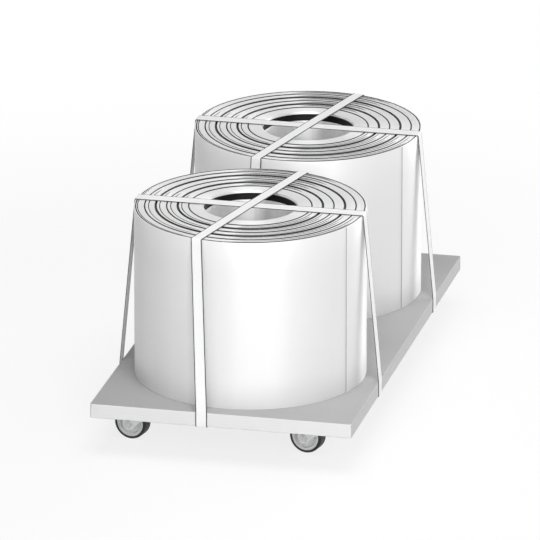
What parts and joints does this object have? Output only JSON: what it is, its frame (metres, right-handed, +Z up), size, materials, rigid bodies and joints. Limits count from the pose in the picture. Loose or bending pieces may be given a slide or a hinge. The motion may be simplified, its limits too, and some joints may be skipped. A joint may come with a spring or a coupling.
{
  "type": "aluminium gutter coil load on a wheeled deck",
  "caption": "Coils of aluminium gutter strip standing on end, held by crossing plastic straps on a low plywood dolly with swivel casters.",
  "frame": {"origin": "on the floor, under the middle of the deck", "axes": "+Z up, +Y along the deck from its front end to its rear, +X to the right seen from the front"},
  "size_m": [0.5828, 1.1426, 0.5107],
  "materials": {
    "aluminium_strip": "mill-finish strip, satin, wound tight",
    "deck_paint": "plywood painted matt grey, paler on its edges",
    "strap": "white woven plastic strap",
    "zinc_steel": "zinc-plated pressed steel",
    "wheel_core": "white moulded nylon",
    "tyre": "black moulded rubber tread"
  },
  "bodies": {
    "dolly": {"deck": "deck_paint", "coil_front": "aluminium_strip", "coil_rear": "aluminium_strip", "strap_across_front": "strap", "strap_along_front": "strap", "strap_across_rear": "strap", "strap_along_rear": "strap", "caster_plate_front_left": "zinc_steel", "king_pin_front_left": "zinc_steel", "caster_plate_front_right": "zinc_steel", "king_pin_front_right": "zinc_steel", "caster_plate_rear_left": "zinc_steel", "king_pin_rear_left": "zinc_steel", "caster_plate_rear_right": "zinc_steel", "king_pin_rear_right": "zinc_steel"},
    "caster_front_left": {"fork_front_left": "zinc_steel", "axle_front_left": "zinc_steel"},
    "wheel_front_left": {"wheel_core_front_left": "wheel_core", "tyre_front_left": "tyre"},
    "caster_front_right": {"fork_front_right": "zinc_steel", "axle_front_right": "zinc_steel"},
    "wheel_front_right": {"wheel_core_front_right": "wheel_core", "tyre_front_right": "tyre"},
    "caster_rear_left": {"fork_rear_left": "zinc_steel", "axle_rear_left": "zinc_steel"},
    "wheel_rear_left": {"wheel_core_rear_left": "wheel_core", "tyre_rear_left": "tyre"},
    "caster_rear_right": {"fork_rear_right": "zinc_steel", "axle_rear_right": "zinc_steel"},
    "wheel_rear_right": {"wheel_core_rear_right": "wheel_core", "tyre_rear_right": "tyre"}
  },
  "joints": [
    {"name": "swivel_front_left", "type": "hinge", "parent": "dolly", "child": "caster_front_left", "pos_m": [-0.196, -0.422, 0.095], "axis": [0, 0, 1], "continuous": true},
    {"name": "roll_front_left", "type": "hinge", "parent": "caster_front_left", "child": "wheel_front_left", "pos_m": [-0.23317, -0.4141, 0.0375], "axis": [0.2079, 0.9781, 0], "continuous": true},
    {"name": "swivel_front_right", "type": "hinge", "parent": "dolly", "child": "caster_front_right", "pos_m": [0.196, -0.422, 0.095], "axis": [0, 0, 1], "continuous": true},
    {"name": "roll_front_right", "type": "hinge", "parent": "caster_front_right", "child": "wheel_front_right", "pos_m": [0.15883, -0.4141, 0.0375], "axis": [0.2079, 0.9781, 0], "continuous": true},
    {"name": "swivel_rear_left", "type": "hinge", "parent": "dolly", "child": "caster_rear_left", "pos_m": [-0.196, 0.422, 0.095], "axis": [0, 0, 1], "continuous": true},
    {"name": "roll_rear_left", "type": "hinge", "parent": "caster_rear_left", "child": "wheel_rear_left", "pos_m": [-0.23317, 0.4299, 0.0375], "axis": [0.2079, 0.9781, 0], "continuous": true},
    {"name": "swivel_rear_right", "type": "hinge", "parent": "dolly", "child": "caster_rear_right", "pos_m": [0.196, 0.422, 0.095], "axis": [0, 0, 1], "continuous": true},
    {"name": "roll_rear_right", "type": "hinge", "parent": "caster_rear_right", "child": "wheel_rear_right", "pos_m": [0.15883, 0.4299, 0.0375], "axis": [0.2079, 0.9781, 0], "continuous": true}
  ]
}
